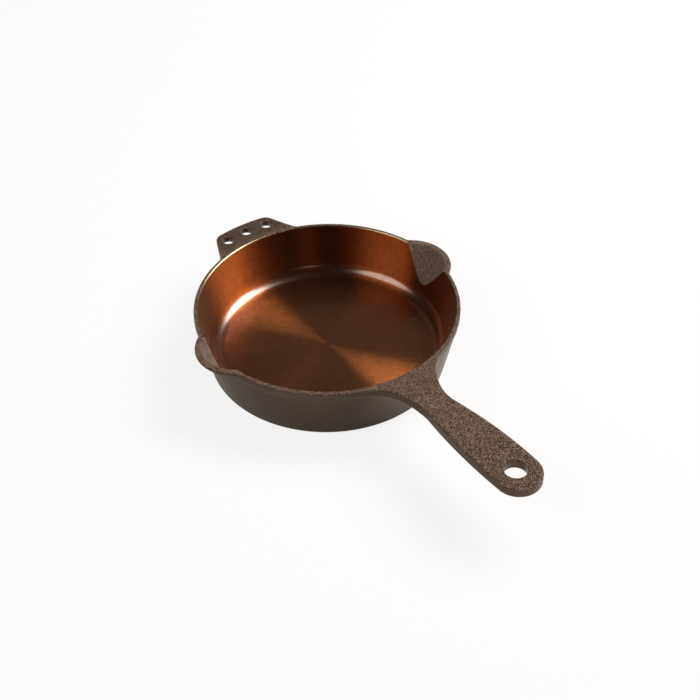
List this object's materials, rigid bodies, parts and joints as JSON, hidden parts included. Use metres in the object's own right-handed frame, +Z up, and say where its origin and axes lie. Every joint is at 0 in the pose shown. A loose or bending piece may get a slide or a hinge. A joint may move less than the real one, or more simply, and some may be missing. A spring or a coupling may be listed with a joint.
{
  "type": "cast-iron skillet",
  "caption": "Small deep cast-iron skillet with a turned inside, a long handle with a hang hole, a holed helper tab and a pour spout on each side.",
  "frame": {"origin": "centre of the flat resting face under the pan", "axes": "+X along the handle, away from the pan; +Z up, out of the pan's mouth; +Y towards the right-hand pour spout"},
  "size_m": [0.3375, 0.2108, 0.0471],
  "materials": {
    "turned_iron": "turned on a lathe, then seasoned to a glossy bronze",
    "seasoned_iron": "as-cast pebbled skin, seasoned, satin"
  },
  "bodies": {
    "root": {"pan_floor": "turned_iron", "pan_wall": "turned_iron", "rim": "seasoned_iron", "spout_left": "seasoned_iron", "spout_right": "seasoned_iron", "helper_tab": "seasoned_iron", "handle": "seasoned_iron"}
  },
  "joints": []
}
